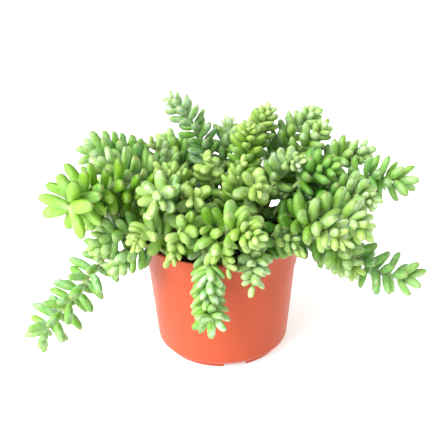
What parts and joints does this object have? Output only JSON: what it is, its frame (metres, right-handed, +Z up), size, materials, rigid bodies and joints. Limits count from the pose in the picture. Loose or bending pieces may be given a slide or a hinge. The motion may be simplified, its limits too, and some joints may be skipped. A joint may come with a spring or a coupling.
{
  "type": "potted burro's tail plant",
  "caption": "Burro's tail sedum with plump overlapping leaves on arching and trailing stems, growing in a tapered plastic nursery pot.",
  "frame": {"origin": "centre of the pot's foot, on the surface it stands on, which is also the middle of the whole plant's outline seen from above", "axes": "+Z up along the pot's axis; the front of the plant faces -Y; its longest trailing shoots reach out along -X and +X"},
  "size_m": [0.306, 0.207, 0.207],
  "materials": {
    "pot_plastic": "satin",
    "soil": "matte",
    "shoot_green": "satin"
  },
  "bodies": {
    "root": {"pot": "pot_plastic", "potting_soil": "soil", "shoot_left_reach": "shoot_green", "shoot_left_mid": "shoot_green", "shoot_left_trail": "shoot_green", "shoot_left_low": "shoot_green", "shoot_left_upper": "shoot_green", "shoot_left_crest": "shoot_green", "shoot_back_riser": "shoot_green", "shoot_crown": "shoot_green", "shoot_knob_left": "shoot_green", "shoot_knob_right": "shoot_green", "shoot_top_centre": "shoot_green", "shoot_top_mid": "shoot_green", "shoot_top_right": "shoot_green", "shoot_right_crest": "shoot_green", "shoot_right_knob": "shoot_green", "shoot_right_mid": "shoot_green", "shoot_right_riser": "shoot_green", "shoot_right_far": "shoot_green", "shoot_right_low": "shoot_green", "shoot_right_front": "shoot_green", "shoot_right_fore": "shoot_green", "shoot_right_trail": "shoot_green", "shoot_right_skirt": "shoot_green", "shoot_front_bow": "shoot_green", "shoot_front_bud": "shoot_green", "shoot_front_hang": "shoot_green", "shoot_front_row": "shoot_green", "shoot_left_front": "shoot_green", "shoot_left_curl": "shoot_green", "shoot_left_row": "shoot_green", "shoot_left_skirt": "shoot_green", "shoot_mid_left": "shoot_green", "shoot_mid_centre": "shoot_green", "shoot_right_drop": "shoot_green", "shoot_back_west": "shoot_green", "shoot_back_north_west": "shoot_green", "shoot_back_hang": "shoot_green", "shoot_back_north_east": "shoot_green", "shoot_back_east": "shoot_green", "shoot_back_trail": "shoot_green", "shoot_back_top": "shoot_green", "shoot_back_dome": "shoot_green"}
  },
  "joints": []
}
